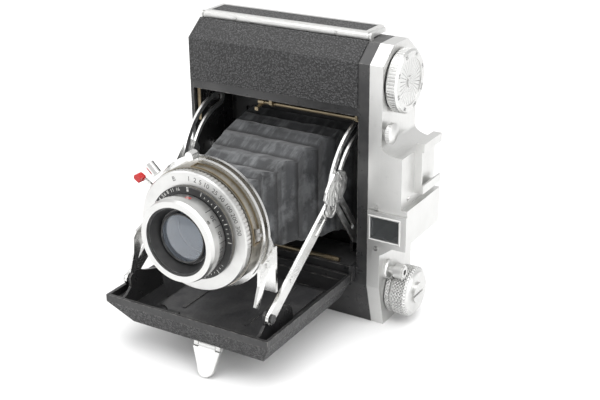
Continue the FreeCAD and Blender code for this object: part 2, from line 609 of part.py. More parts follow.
def shutter_face():
    """Flat black ring in front of the speed ring."""
    return tube_y((RING_Y[0] - 1.2, RING_Y[0] - 0.6), LENS, 17.6, 13.4)


def speed_ring():
    ring = tube_y(RING_Y, LENS, RING_R, 17.4 + FIT)
    ring = ring.makeChamfer(0.5, [e for e in ring.Edges if len(e.Vertexes) == 1 and abs(e.Curve.Radius - RING_R) < 0.01
                                  and e.Vertexes[0].Point.y < RING_Y[0] + 0.1])
    notches = []
    for step in range(90):
        turn = math.radians(360.0 * step / 90)
        spot = (LENS[0] + (RING_R + 0.1) * math.cos(turn), LENS[1] + (RING_R + 0.1) * math.sin(turn))
        notches.append(rod_y((RING_Y[0] + 0.6, RING_Y[1] + 0.1), spot, 0.33))
    return knurled(ring, notches)


def focus_barrel():
    """Turning front cell mount with a flared rim."""
    rear = RING_Y[0] - 1.5
    flange = rod_y((BEZEL_Y + 1.4, FLANGE_REAR), LENS, BARREL_R)
    barrel = rod_y((FLANGE_REAR, rear), LENS, DRUM_R)
    rim = Part.makeCone(BARREL_R - 0.5, BARREL_R, 1.4, V(LENS[0], BEZEL_Y, LENS[1]), SPAN_Y)
    spigot = rod_y((rear, RING_Y[1] + 2.0), LENS, 10.9)
    bore = rod_y((BEZEL_Y + 5.2, RING_Y[1] + 3), LENS, 9.4)
    dish = rod_y((BEZEL_Y - 1, BEZEL_Y + 5.2), LENS, 12.9)
    screw = Part.makeCylinder(0.7, 3, V(LENS[0], BEZEL_Y + 2.6, LENS[1]), V(0.8, 0, 0.6))
    screw.translate(V(0.8 * 14.2, 0, 0.6 * 14.2))
    return fuse([flange, barrel, rim, spigot]).cut(dish).cut(bore).cut(screw)


def name_ring():
    """Black ring round the front glass, sloping inwards."""
    outer = rod_y((BEZEL_Y + 0.9, BEZEL_Y + 5.2), LENS, 12.85)
    cone = Part.makeCone(12.2, 10.2, 4.4, V(LENS[0], BEZEL_Y + 0.85, LENS[1]), SPAN_Y)
    return outer.cut(cone).cut(rod_y((BEZEL_Y + 4, BEZEL_Y + 6), LENS, 9.6))


def lens_disc(y, radius, bulge):
    """Glass element turned about the lens axis, with one domed face."""
    cx, cz = LENS
    flat, rim, peak = y[0], y[1], y[1] + bulge
    half = radius / 2
    sag = bulge * 0.75
    dome = Part.Arc(V(cx, peak, cz), V(cx + half, rim + sag, cz), V(cx + radius, rim, cz)).toShape()
    edges = [dome, Part.makeLine(V(cx + radius, rim, cz), V(cx + radius, flat, cz)),
             Part.makeLine(V(cx + radius, flat, cz), V(cx, flat, cz)), Part.makeLine(V(cx, flat, cz), V(cx, peak, cz))]
    return Part.Face(Part.Wire(edges)).revolve(V(cx, 0, cz), SPAN_Y, 360)


def front_glass():
    return lens_disc((BEZEL_Y + 7.4, BEZEL_Y + 4.4), 9.35, -1.6)


def rear_cell():
    """Rear lens mount screwed through the standard into the shutter."""
    flange = rod_y((PLATE_Y[1], PLATE_Y[1] + 1.2), LENS, 12.4)
    mount = rod_y((HOUSING_Y[1] - 0.6, -38.8), LENS, 8.9)
    ledge = rod_y((HOUSING_Y[1] + 0.0, PLATE_Y[1]), LENS, 13.9)
    return fuse([flange, mount, ledge]).cut(rod_y((-50, -38), LENS, 7.2))


def rear_glass():
    return lens_disc((-43.4, -40.6), 7.15, 1.2)


def cable_socket():
    """Post on the shutter's shoulder with a threaded cable release hole."""
    post = Part.makeCylinder(1.9, 4.8, V(19.2, -48.4, 68.8), V(-0.72, 0, 0.694))
    hole = Part.makeCylinder(CABLE_R, 4.0, V(19.2 - 0.72 * 1.7, -48.4, 68.8 + 0.694 * 1.7), V(-0.72, 0, 0.694))
    return post.cut(hole)


def lever_y(y, angle, radii, width):
    """Flat lever that points away from the lens axis at an angle in degrees."""
    turn = math.radians(angle)
    out = (math.cos(turn), math.sin(turn))
    side = (-out[1] * width / 2, out[0] * width / 2)
    ends = [(LENS[0] + out[0] * r, LENS[1] + out[1] * r) for r in radii]
    outline = [(ends[0][0] + side[0], ends[0][1] + side[1]), (ends[1][0] + side[0], ends[1][1] + side[1]),
               (ends[1][0] - side[0], ends[1][1] - side[1]), (ends[0][0] - side[0], ends[0][1] - side[1])]
    return fuse([plate_y(y, outline), rod_y(y, ends[1], width / 2)])


def aperture_pointer():
    """Thin hoop behind the housing rim with a pointer that rides in the brass slot."""
    hoop = tube_y((-49.7, -48.1), LENS, HOUSING_R + 1.3, HOUSING_R + 0.75).common(
        band_sector((-49.7, -48.1), (HOUSING_R + 1.4, HOUSING_R + 0.6), (0, 10)))
    knob = lever_y((-49.5, -48.3), 5.0, (HOUSING_R + 1.0, HOUSING_R + 1.8), 1.2)
    return fuse([hoop, knob])


def cocking_lever():
    """Lever on the housing's rim with a knurled thumb tab."""
    arm = lever_y((-47.1, -46.7), 97.0, (HOUSING_R + 0.5, HOUSING_R + 3.4), 3.0)
    thumb = lever_y((-50.4, -46.7), 97.0, (HOUSING_R + 2.4, HOUSING_R + 3.6), 3.4)
    return fuse([arm, thumb])


def trip_lever():
    """Release lever with a red grip."""
    arm = lever_y((-51.0, -50.0), 149.0, (HOUSING_R + 0.5, HOUSING_R + 5.4), 1.5)
    grip = lever_y((-53.0, -50.0), 149.0, (HOUSING_R + 4.6, HOUSING_R + 6.4), 2.4)
    return fuse([arm, grip])


# ---- folding struts, right-hand side ----
def strut():
    """Long chrome strut with an embossed oval near its knee."""
    bar = bar_x(STRUT_X, STRUT_FOOT, KNEE, 4.8)
    tip = between(KNEE, STRUT_FOOT, 0.10)
    low = between(KNEE, STRUT_FOOT, 0.24)
    oval = bar_x((STRUT_X[1] - 0.3, STRUT_X[1] + 1), tip, low, 2.6)
    rivet = rod_x((STRUT_X[1] - 0.2, STRUT_X[1] + 0.3), between(STRUT_FOOT, KNEE, 0.34), 1.2)
    hole = rod_x((60, 80), STRUT_FOOT, PIN_R + FIT)
    knee = rod_x((STRUT_X[0], ARM_X[1] - 0.2), KNEE, PIN_R)
    return fuse([bar.cut(oval), rivet, knee]).cut(hole)


def slotted_arm():
    """Curved arm with a long slot that slides over the body's stud."""
    middle = (-6.6, 69.6)
    bar = arc_bar(ARM_X, KNEE, middle, ARM_STUD, 7.2)
    slot = arc_bar((ARM_X[0] - 1, ARM_X[1] + 1), (-10.6, 61.6), (-4.8, 71.2), ARM_STUD, 3.7)
    rings = tube_x((ARM_X[1] - 0.25, ARM_X[1] + 1), KNEE, 2.9, 2.3)
    return bar.cut(slot).cut(rings).cut(rod_x((60, 80), KNEE, PIN_R + FIT))


def finger_pad():
    """Pressed pad above the knee that the fingers push to fold the camera."""
    outline = [(-17.0, 56.0), (-12.4, 54.0), (-7.2, 54.6), (-3.4, 58.0), (-2.4, 62.0), (-4.2, 65.2), (-8.0, 67.0),
               (-12.4, 66.8), (-15.6, 64.4), (-18.2, 61.6), (-19.4, 58.8)]
    pad = plate_x(PAD_X, outline)
    return pad.makeFillet(0.4, [e for e in pad.Edges if all(abs(v.Point.x - PAD_X[1]) < 1e-6 for v in e.Vertexes)])


def body_link():
    """Grooved lower link between the knee and the body."""
    bar = bar_x(LINK_X, LINK_PIVOT, LINK_TOP, 6.0)
    slot = bar_x((60, 80), between(LINK_PIVOT, LINK_TOP, 0.22), between(LINK_PIVOT, LINK_TOP, 0.78), 1.8)
    return bar.cut(slot).cut(rod_x((60, 80), LINK_PIVOT, PIN_R + FIT))


# ---- back ----
def back_shell():
    """Hinged back with end lips."""
    outline = body_outline(0.0)
    outer = plate_x((0.0, WIDTH - 0.2), outline).common(block((0, WIDTH), (SEAM + 0.2, 40), (-1, HEIGHT + 1)))
    inner = plate_x((1.4, WIDTH - 1.6), body_outline(WALL)).common(block((0, WIDTH), (SEAM - 1, 40), (-1, HEIGHT + 1)))
    relief = block((-1, WIDTH), (SEAM, BACK_HINGE[0] + 1.5), (-1, BACK_HINGE[1] + 1.3 + GAP))
    shell = outer.cut(inner).cut(relief).cut(rod_y((SEAM, 30), RED_WINDOW, 4.0))
    hy, hz = BACK_HINGE
    barrels = [fuse([rod_x(x, BACK_HINGE, 1.3), block(x, (hy, hy + 2.4), (0.9, 2.6))]) for x in BACK_KNUCKLES]
    bore = rod_x((0, WIDTH), BACK_HINGE, BACK_PIN_R + FIT)
    return fuse([shell] + [barrel.cut(bore) for barrel in barrels])


def back_leather():
    panel = block((3.0, WIDTH - 3.2), (DEPTH, DEPTH + SKIN), (8.0, HEIGHT - 8.0))
    cx, cz = RED_WINDOW
    return panel.cut(block((cx - 6.4, cx + 6.4), (DEPTH - 1, DEPTH + 2), (cz - 6.4, cz + 15.0)))


def pressure_plate():
    """Sprung plate that holds the film flat on the gate."""
    plate = block((10.0, 67.2), (FILM_PLANE + 0.3, FILM_PLANE + 1.0), (30.0, 75.0))
    spring = [block((x, x + 5.0), (FILM_PLANE + 1.0, DEPTH - WALL), (50.0, 55.0)) for x in (18.0, 54.0)]
    return fuse([plate] + spring).cut(rod_y((20, 30), RED_WINDOW, 4.0))


def window_slide():
    """Sliding cover over the red window."""
    cx, cz = RED_WINDOW
    plate = block((cx - 5.6, cx + 5.6), (DEPTH, DEPTH + 0.6), (cz - 5.6, cz + 5.6))
    grip = block((cx - 3.0, cx + 3.0), (DEPTH + 0.5, DEPTH + 1.2), (cz - 4.6, cz - 3.2))
    return fuse([plate, grip])


def hinge_pin_back():
    """Body half of the back hinge with its pin."""
    hy, hz = BACK_HINGE
    barrels = [fuse([rod_x(x, BACK_HINGE, 1.3), block(x, (hy - 1.8, hy), (0.0, 1.2))]) for x in BODY_KNUCKLES]
    return fuse(barrels + [rod_x((BODY_KNUCKLES[0][0], BODY_KNUCKLES[-1][1]), BACK_HINGE, BACK_PIN_R)])


def back_latch():
    """Long lever on the upper end that holds the back shut."""
    low, high = HEIGHT + GAP, HEIGHT + 3.0
    x0, x1 = LATCH_X
    frame = block(LATCH_X, (9.2, 22.8), (low, high - 0.6))
    edges = [e for e in frame.Edges if abs(e.BoundBox.ZMin - e.BoundBox.ZMax) < 1e-6 and e.BoundBox.ZMin > high - 0.7]
    frame = frame.makeChamfer(0.5, edges)
    rim = block((x0 + 0.5, x1 - 0.5), (9.7, 22.3), (high - 0.7, high)).cut(
        block((x0 + 2.2, x1 - 2.2), (11.4, 20.8), (high - 1.2, high + 1)))
    notches = [Part.makeCylinder(1.5, 4.0, V(x, 8.0, low - 1), SPAN_Z) for x in (16.0, 60.5)]
    under = block((x0 + 1.2, x1 - 1.2), (12.0, 21.4), (low - 1, low + 1.0))
    bore = rod_x((0, 76), LATCH_PIN, 0.6 + FIT)
    return fuse([frame, rim]).cut(Part.makeCompound(notches)).cut(under).cut(bore)


def latch_leather():
    x0, x1 = LATCH_X
    return block((x0 + 2.3, x1 - 2.3), (11.5, 20.7), (HEIGHT + 2.4, HEIGHT + 2.9))


def latch_eyes():
    """Two eyes on the end face that carry the latch pin."""
    y, z = LATCH_PIN
    eyes = []
    for x in ((-0.1, 0.7), (LATCH_X[1] + 0.3, LATCH_X[1] + 1.1)):
        eyes.append(fuse([block(x, (y - 1.1, y + 1.1), (HEIGHT, z)), rod_x(x, LATCH_PIN, 1.1)]))
    return fuse(eyes + [rod_x((0.0, LATCH_X[1] + 0.5), LATCH_PIN, 0.6)])


# ---- bellows ----
def bellows():
    """Closed outer volume of the pleated bellows, hollowed for the rear lens cell."""
    cx, cz = LENS
    front, rear = PLATE_Y[1] + 0.1, 22.2

    def ring(y, half_x, half_z):
        corners = [V(cx - half_x, y, cz - half_z), V(cx + half_x, y, cz - half_z),
                   V(cx + half_x, y, cz + half_z), V(cx - half_x, y, cz + half_z)]
        return Part.makePolygon(corners + corners[:1])

    body = Part.makeLoft([ring(front, 15.6, 15.6), ring(rear, 27.2, 21.8)], True, True)
    return body.cut(rod_y((front - 1, front + 5.4), LENS, 12.8))


NODES = {
    "body_shell": body_shell,
    "front_leather": front_leather,
    "tripod_bush": tripod_bush,
    "film_gate": film_gate,
    "chamber_walls": chamber_walls,
    "roller_upper": lambda: roller(83.6),
    "roller_lower": lambda: roller(28.9),
    "top_cover": top_cover,
    "viewfinder_tube": viewfinder_tube,
    "viewfinder_lenses": viewfinder_lenses,
    "accessory_shoe": accessory_shoe,
    "cover_screws": cover_screws,
    "release_collar": release_collar,
    "spool_stub": spool_stub,
    "rod_bearings": rod_bearings,
    "spring_tube": spring_tube,
    "side_brackets": side_brackets,
    "back_hinge_pin": hinge_pin_back,
    "latch_eyes": latch_eyes,
    "release_button": release_button,
    "door_button": door_button,
    "dial_knob": dial_knob,
    "wind_knob": wind_knob,
    "takeup_spool": takeup_spool,
    "supply_pin": supply_pin,
    "catch_rod": catch_rod,
    "door_shell": door_shell,
    "door_leather": door_leather,
    "door_panel": door_panel,
    "door_brackets": door_brackets,
    "door_lip": door_lip,
    "foot_hinge": foot_hinge,
    "foot": foot,
    "standard_plate": standard_plate,
    "shutter_housing": shutter_housing,
    "shutter_band": shutter_band,
    "shutter_face": shutter_face,
    "rear_cell": rear_cell,
    "rear_glass": rear_glass,
    "cable_socket": cable_socket,
    "speed_ring": speed_ring,
    "focus_barrel": focus_barrel,
    "name_ring": name_ring,
    "front_glass": front_glass,
    "aperture_pointer": aperture_pointer,
    "cocking_lever": cocking_lever,
    "trip_lever": trip_lever,
    "strut_right": strut,
    "strut_left": lambda: mirrored(strut()),
    "arm_right": lambda: slotted_arm().fuse(finger_pad()),
    "arm_left": lambda: mirrored(slotted_arm().fuse(finger_pad())),
    "link_right": body_link,
    "link_left": lambda: mirrored(body_link()),
    "back_shell": back_shell,
    "back_leather": back_leather,
    "pressure_plate": pressure_plate,
    "window_slide": window_slide,
    "back_latch": back_latch,
    "latch_leather": latch_leather,
    "bellows": bellows,
}


def main():
    os.makedirs("parts", exist_ok=True)
    for name, build in NODES.items():
        shape = build()
        shape.translate(-ORIGIN)
        shape.exportStep("parts/%s.step" % name)
        print(name, "solids", len(shape.Solids), "valid", shape.isValid(), "volume %.1f" % shape.Volume)


main()
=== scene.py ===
"""Looks of the folding camera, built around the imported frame. Lengths below are in millimetres."""
import bpy
import bmesh
import math
from mathutils import Matrix, Vector, noise


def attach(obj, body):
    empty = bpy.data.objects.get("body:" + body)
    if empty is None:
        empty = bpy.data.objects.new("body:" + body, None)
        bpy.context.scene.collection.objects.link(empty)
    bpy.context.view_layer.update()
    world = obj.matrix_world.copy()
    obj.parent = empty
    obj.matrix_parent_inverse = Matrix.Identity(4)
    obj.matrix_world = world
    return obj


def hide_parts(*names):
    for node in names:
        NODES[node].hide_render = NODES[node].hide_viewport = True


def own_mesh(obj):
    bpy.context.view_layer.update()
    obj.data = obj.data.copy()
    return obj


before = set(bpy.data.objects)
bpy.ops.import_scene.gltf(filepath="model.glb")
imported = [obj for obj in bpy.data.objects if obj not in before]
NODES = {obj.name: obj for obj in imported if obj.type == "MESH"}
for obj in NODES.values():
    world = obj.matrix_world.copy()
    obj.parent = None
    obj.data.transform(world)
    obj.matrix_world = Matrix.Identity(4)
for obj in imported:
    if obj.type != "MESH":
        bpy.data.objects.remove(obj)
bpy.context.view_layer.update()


# ---- places, in millimetres from the lower left front corner of the closed body ----
def at(x, y, z):
    """Point of the row frame in metres."""
    return Vector(((x - 40.0) / 1000.0, (y - 14.0) / 1000.0, z / 1000.0))


LENS_X, LENS_Z = 38.6, 52.5
RING_FRONT = -54.4
FACE_Y = RING_FRONT - 1.22
BEZEL = -64.6
BARREL_R = 14.9
MARK_R = 14.93


# ---- node helpers ----
LOOKS = {}


class Nodes:
    """Small wrapper that keeps material code short."""

    def __init__(self, name):
        self.mat = bpy.data.materials.new("look_" + name)
        LOOKS[name] = self.mat
        self.mat.use_nodes = True
        self.tree = self.mat.node_tree
        self.shader = self.tree.nodes["Principled BSDF"]
        self.height = None

    def add(self, kind, **values):
        node = self.tree.nodes.new(kind)
        for key, value in values.items():
            setattr(node, key, value)
        return node

    def link(self, source, target):
        self.tree.links.new(source, target)

    def feed(self, socket, value):
        if isinstance(value, bpy.types.NodeSocket):
            self.link(value, socket)
        else:
            socket.default_value = value

    def math(self, operation, a, b=0.0, clamp=False):
        node = self.add("ShaderNodeMath", operation=operation, use_clamp=clamp)
        self.feed(node.inputs[0], a)
        self.feed(node.inputs[1], b)
        return node.outputs[0]

    def coords(self):
        return self.add("ShaderNodeTexCoord").outputs["Object"]

    def scaled(self, x, y, z, move=(0, 0, 0)):
        node = self.add("ShaderNodeMapping")
        self.link(self.coords(), node.inputs["Vector"])
        node.inputs["Scale"].default_value = (x, y, z)
        node.inputs["Location"].default_value = move
        return node.outputs[0]

    def noise(self, scale, detail=3.0, vector=None, rough=0.55):
        node = self.add("ShaderNodeTexNoise")
        node.inputs["Scale"].default_value = scale
        node.inputs["Detail"].default_value = detail
        node.inputs["Roughness"].default_value = rough
        self.link(vector or self.coords(), node.inputs["Vector"])
        return node.outputs["Fac"]

    def cells(self, scale, feature="F1", vector=None):
        node = self.add("ShaderNodeTexVoronoi", feature=feature)
        node.inputs["Scale"].default_value = scale
        self.link(vector or self.coords(), node.inputs["Vector"])
        return node.outputs["Distance"]

    def span(self, value, low, high, to_low=0.0, to_high=1.0):
        node = self.add("ShaderNodeMapRange")
        self.link(value, node.inputs["Value"])
        for key, number in (("From Min", low), ("From Max", high), ("To Min", to_low), ("To Max", to_high)):
            node.inputs[key].default_value = number
        return node.outputs["Result"]

    def mix(self, share, a, b):
        node = self.add("ShaderNodeMix", data_type="RGBA")
        self.feed(node.inputs["Factor"], share)
        self.feed(node.inputs[6], rgba(a))
        self.feed(node.inputs[7], rgba(b))
        return node.outputs[2]

    def colour(self, value):
        self.feed(self.shader.inputs["Base Color"], rgba(value))

    def rough(self, value):
        self.feed(self.shader.inputs["Roughness"], value)

    def metal(self, value):
        self.feed(self.shader.inputs["Metallic"], value)

    def put(self, name, value):
        self.shader.inputs[name].default_value = value

    def bump(self, height, depth, strength=1.0):
        """Stack one more height map; depth is in millimetres."""
        node = self.add("ShaderNodeBump")
        node.inputs["Strength"].default_value = strength
        node.inputs["Distance"].default_value = depth / 1000.0
        self.link(height, node.inputs["Height"])
        if self.height:
            self.link(self.height, node.inputs["Normal"])
        self.height = node.outputs["Normal"]
        self.link(self.height, self.shader.inputs["Normal"])

    def edges(self, radius):
        """1 on sharp edges, 0 on flat areas."""
        bevel = self.add("ShaderNodeBevel", samples=4)
        bevel.inputs["Radius"].default_value = radius / 1000.0
        flat = self.add("ShaderNodeNewGeometry").outputs["Normal"]
        dot = self.add("ShaderNodeVectorMath", operation="DOT_PRODUCT")
        self.link(bevel.outputs[0], dot.inputs[0])
        self.link(flat, dot.inputs[1])
        return self.span(dot.outputs["Value"], 0.99, 0.86)

    def axes(self, centre):
        """Object coordinates split into x, y and z, in metres from a centre."""
        shift = self.add("ShaderNodeVectorMath", operation="SUBTRACT")
        self.link(self.coords(), shift.inputs[0])
        shift.inputs[1].default_value = centre
        split = self.add("ShaderNodeSeparateXYZ")
        self.link(shift.outputs[0], split.inputs[0])
        return split.outputs


def rgba(value):
    if isinstance(value, bpy.types.NodeSocket):
        return value
    return (value[0], value[1], value[2], 1.0)


# ---- materials ----
def leather(name, light=0.062, dark=0.013, grain=1350.0):
    m = Nodes(name)
    stretch = m.scaled(1.0, 1.0, 0.86)
    pebble = m.cells(grain, "F1", stretch)
    crease = m.cells(grain * 0.55, "DISTANCE_TO_EDGE", stretch)
    broad = m.noise(55.0, 4.0)
    tops = m.span(pebble, 0.25, 0.62, 1.0, 0.0)
    tone = m.mix(tops, (dark, dark, dark * 1.04), (light, light, light * 1.03))
    m.colour(m.mix(m.span(broad, 0.35, 0.75, 0.0, 0.12), tone, (light * 1.5, light * 1.48, light * 1.46)))
    m.rough(m.span(tops, 0.0, 1.0, 0.62, 0.36))
    m.put("Specular IOR Level", 0.5)
    m.bump(tops, 0.30, 1.0)
    m.bump(m.span(crease, 0.0, 0.12), 0.16, 0.7)
    m.bump(m.noise(4200.0, 2.0), 0.03, 0.5)
    return m.mat


def black_paint(name, base=0.018, worn=(0.30, 0.29, 0.27), rough=0.27, crackle=0.0):
    m = Nodes(name)
    dust = m.noise(130.0, 5.0)
    worn_off = m.math("MULTIPLY", m.edges(0.35), m.span(m.noise(420.0, 5.0), 0.46, 0.60))
    paint = m.mix(m.span(dust, 0.4, 0.75, 0.0, 0.5), (base, base, base * 1.05),
                  (base * 2.4, base * 2.35, base * 2.3))
    m.colour(m.mix(worn_off, paint, worn))
    m.rough(m.span(m.noise(240.0, 4.0), 0.3, 0.75, rough * 0.8, rough * 1.6))
    m.metal(m.math("MULTIPLY", worn_off, 0.8))
    m.put("Specular IOR Level", 0.55)
    if crackle:
        wrinkle = m.cells(760.0, "F1", m.scaled(1.0, 1.0, 1.0))
        m.bump(m.span(wrinkle, 0.1, 0.7), 0.10 * crackle, 0.7)
    m.bump(m.noise(90.0, 3.0), 0.05, 0.35)
    m.bump(m.noise(2600.0, 2.0), 0.010, 0.5)
    return m.mat


def metal(name, colour, rough, grain=(1.0, 1.0, 1.0), scratch=0.006, wear=0.3, stain=(0.35, 0.32, 0.28)):
    """Plated or bare metal with brushing, fine scratches, stains and brighter edges."""
    m = Nodes(name)
    brushed = m.noise(900.0, 4.0, m.scaled(*grain), 0.7)
    cloud = m.noise(75.0, 5.0)
    spots = m.span(m.noise(520.0, 6.0), 0.62, 0.74)
    edge = m.edges(0.3)
    dulled = m.mix(m.span(cloud, 0.42, 0.72, 0.0, wear), colour, stain)
    flecked = m.mix(m.math("MULTIPLY", spots, wear * 0.9), dulled, tuple(c * 0.45 for c in stain))
    m.colour(m.mix(m.math("MULTIPLY", edge, 0.6), flecked, tuple(min(1.0, c * 1.12) for c in colour)))
    m.metal(1.0)
    m.rough(m.math("ADD", m.span(brushed, 0.3, 0.7, rough * 0.75, rough * 1.25),
                   m.span(cloud, 0.4, 0.75, 0.0, 0.16)))
    m.bump(brushed, scratch, 0.8)
    m.bump(m.noise(210.0, 3.0), 0.02, 0.3)
    return m.mat


def turned(name, colour, rough, centre, axis, lines=2600.0, wear=0.15, bore=0.0):
    """Metal turned on a lathe: fine circles about an axis along x or y."""
    m = Nodes(name)
    x, y, z = m.axes(centre)
    across = (y, z) if axis == "x" else (x, z)
    radius = m.math("SQRT", m.math("ADD", m.math("MULTIPLY", across[0], across[0]),
                                   m.math("MULTIPLY", across[1], across[1])))
    circles = m.math("SINE", m.math("MULTIPLY", radius, lines * 6.283))
    cloud = m.noise(140.0, 5.0)
    plate = m.mix(m.span(cloud, 0.45, 0.75, 0.0, wear), colour, tuple(c * 0.55 for c in colour))
    inside = m.math("LESS_THAN", radius, bore)
    m.colour(m.mix(inside, plate, (0.010, 0.010, 0.011)))
    m.metal(m.math("SUBTRACT", 1.0, inside))
    m.rough(m.span(m.noise(500.0, 4.0), 0.3, 0.7, rough * 0.9, rough * 1.15))
    m.bump(circles, 0.003, 0.5)
    m.bump(m.noise(700.0, 2.0), 0.002, 0.4)
    return m.mat


def sunburst(name, colour, rough, centre, reach, rays):
    """Dial with radial rays cut in its face, painted shade darkening the rays, and a plain satin rim."""
    m = Nodes(name)
    x, y, z = m.axes(centre)
    turn = m.math("ARCTAN2", z, y)
    radius = m.math("SQRT", m.math("ADD", m.math("MULTIPLY", y, y), m.math("MULTIPLY", z, z)))
    inside = m.math("MULTIPLY", m.span(radius, reach, reach - 0.0004), m.span(x, 0.0025, 0.0030))
    ray = m.math("ABSOLUTE", m.math("SINE", m.math("MULTIPLY", turn, rays / 2.0)))
    groove = m.math("MULTIPLY", m.span(ray, 0.28, 0.0), inside)
    cloud = m.noise(150.0, 4.0)
    satin = m.mix(m.span(cloud, 0.45, 0.75, 0.0, 0.2), colour, tuple(c * 0.7 for c in colour))
    # painted shade: the cut rays are darkened to grey
    m.colour(m.mix(groove, satin, (0.14, 0.14, 0.14)))
    m.metal(1.0)
    m.rough(m.span(m.noise(700.0, 4.0), 0.3, 0.7, rough * 0.8, rough * 1.3))
    m.bump(m.math("SUBTRACT", 1.0, groove), 0.12, 0.9)
    m.bump(m.noise(1900.0, 3.0), 0.006, 0.5)
    return m.mat


def knurled_metal(name, colour, rough, centre, inner, pitch):
    """Metal with a diamond pattern pressed into the band outside a radius about x, with painted shade in its
    valleys.
    """
    m = Nodes(name)
    x, y, z = m.axes(centre)
    turn = m.math("ARCTAN2", z, y)
    radius = m.math("SQRT", m.math("ADD", m.math("MULTIPLY", y, y), m.math("MULTIPLY", z, z)))
    rim = m.span(radius, inner, inner + 0.0002)
    along = m.math("MULTIPLY", x, 6.283 / pitch)
    around = m.math("MULTIPLY", turn, inner * 6.283 / pitch)
    one = m.math("SINE", m.math("ADD", along, around))
    two = m.math("SINE", m.math("SUBTRACT", along, around))
    diamond = m.math("MULTIPLY", m.span(m.math("ADD", one, two), -1.2, 1.2), rim)
    cloud = m.noise(150.0, 4.0)
    base = m.mix(m.span(cloud, 0.45, 0.75, 0.0, 0.25), colour, tuple(c * 0.6 for c in colour))
    # painted shade: the knurl valleys are darkened to a flat grey
    valley = m.math("MULTIPLY", m.span(diamond, 0.45, 0.0), m.math("MULTIPLY", rim, 0.55))
    m.colour(m.mix(valley, base, (0.18, 0.18, 0.18)))
    m.metal(1.0)
    m.rough(m.span(cloud, 0.3, 0.7, rough * 0.8, rough * 1.4))
    m.bump(diamond, 0.25, 0.9)
    m.bump(m.noise(1700.0, 3.0), 0.006, 0.4)
    return m.mat


def cloth(name):
    """Worn black woven cloth, with painted shade darkening the fold valleys and paler patches along the fold
    ridges.
    """
    m = Nodes(name)
    ridge = m.add("ShaderNodeAttribute", attribute_name="ridge").outputs["Fac"]
    warp = m.add("ShaderNodeTexWave", bands_direction="X")
    weft = m.add("ShaderNodeTexWave", bands_direction="Z")
    for wave in (warp, weft):
        wave.inputs["Scale"].default_value = 560.0
        wave.inputs["Distortion"].default_value = 1.6
        wave.inputs["Detail"].default_value = 2.0
        m.link(m.coords(), wave.inputs["Vector"])
    weave = m.math("MULTIPLY", warp.outputs["Fac"], weft.outputs["Fac"])
    streak = m.noise(260.0, 5.0, m.scaled(1.0, 0.16, 0.4), 0.65)
    cloud = m.noise(48.0, 5.0)
    body = m.mix(m.span(cloud, 0.34, 0.70), (0.012, 0.0125, 0.0135), (0.050, 0.052, 0.056))
    body = m.mix(m.span(streak, 0.48, 0.66, 0.0, 0.8), body, (0.13, 0.135, 0.14))
    # painted shade: the fold valleys are darkened towards near-black by fold position alone
    valley = m.span(ridge, 0.30, 0.0, 0.0, 0.85)
    body = m.mix(valley, body, (0.006, 0.006, 0.0065))
    # paler patches along the fold ridges, set by fold position and noise
    paler_ridge_patches = m.math("MULTIPLY", m.span(ridge, 0.72, 1.0), m.span(m.noise(330.0, 4.0), 0.36, 0.62))
    m.colour(m.mix(m.math("MULTIPLY", paler_ridge_patches, 0.55), body, (0.17, 0.175, 0.18)))
    m.rough(m.span(streak, 0.3, 0.7, 0.72, 0.48))
    m.put("Sheen Weight", 0.25)
    m.put("Sheen Roughness", 0.4)
    m.bump(weave, 0.05, 0.6)
    m.bump(streak, 0.22, 0.7)
    m.bump(m.noise(900.0, 3.0), 0.05, 0.5)
    return m.mat


def glass(name, tint, clear=1.0, rough=0.02):
    m = Nodes(name)
    film = m.noise(60.0, 3.0)
    m.colour(m.mix(m.span(film, 0.3, 0.7), tint, tuple(min(1.0, c * 1.15) for c in tint)))
    m.put("Transmission Weight", clear)
    m.put("IOR", 1.5)
    m.put("Coat Weight", 0.6)
    m.put("Coat Roughness", 0.02)
    m.rough(m.span(m.noise(400.0, 4.0), 0.5, 0.8, rough, rough + 0.05))
    m.bump(m.noise(300.0, 2.0), 0.002, 0.3)
    return m.mat


def enamel(name, colour, rough=0.35):
    """Thin paint or filled engraving with slight unevenness."""
    m = Nodes(name)
    thin = tuple(min(1.0, c * 0.78 + 0.01) for c in colour)
    m.colour(m.mix(m.span(m.noise(800.0, 4.0), 0.35, 0.7), colour, thin))
    m.rough(m.span(m.noise(600.0, 3.0), 0.3, 0.7, rough * 0.8, rough * 1.3))
    m.bump(m.noise(1500.0, 3.0), 0.01, 0.5)
    return m.mat


def tipped(name, colour, tip, centre, start):
    """Plated lever whose end, beyond a radius about the lens axis, is enamelled."""
    m = Nodes(name)
    x, y, z = m.axes(centre)
    radius = m.math("SQRT", m.math("ADD", m.math("MULTIPLY", x, x), m.math("MULTIPLY", z, z)))
    end = m.span(radius, start, start + 0.0001)
    cloud = m.noise(300.0, 4.0)
    plate = m.mix(m.span(cloud, 0.4, 0.7, 0.0, 0.3), colour, tuple(c * 0.6 for c in colour))
    m.colour(m.mix(end, plate, tip))
    m.metal(m.math("SUBTRACT", 1.0, end))
    m.rough(m.span(cloud, 0.3, 0.7, 0.18, 0.32))
    m.bump(m.noise(1200.0, 3.0), 0.01, 0.5)
    return m.mat


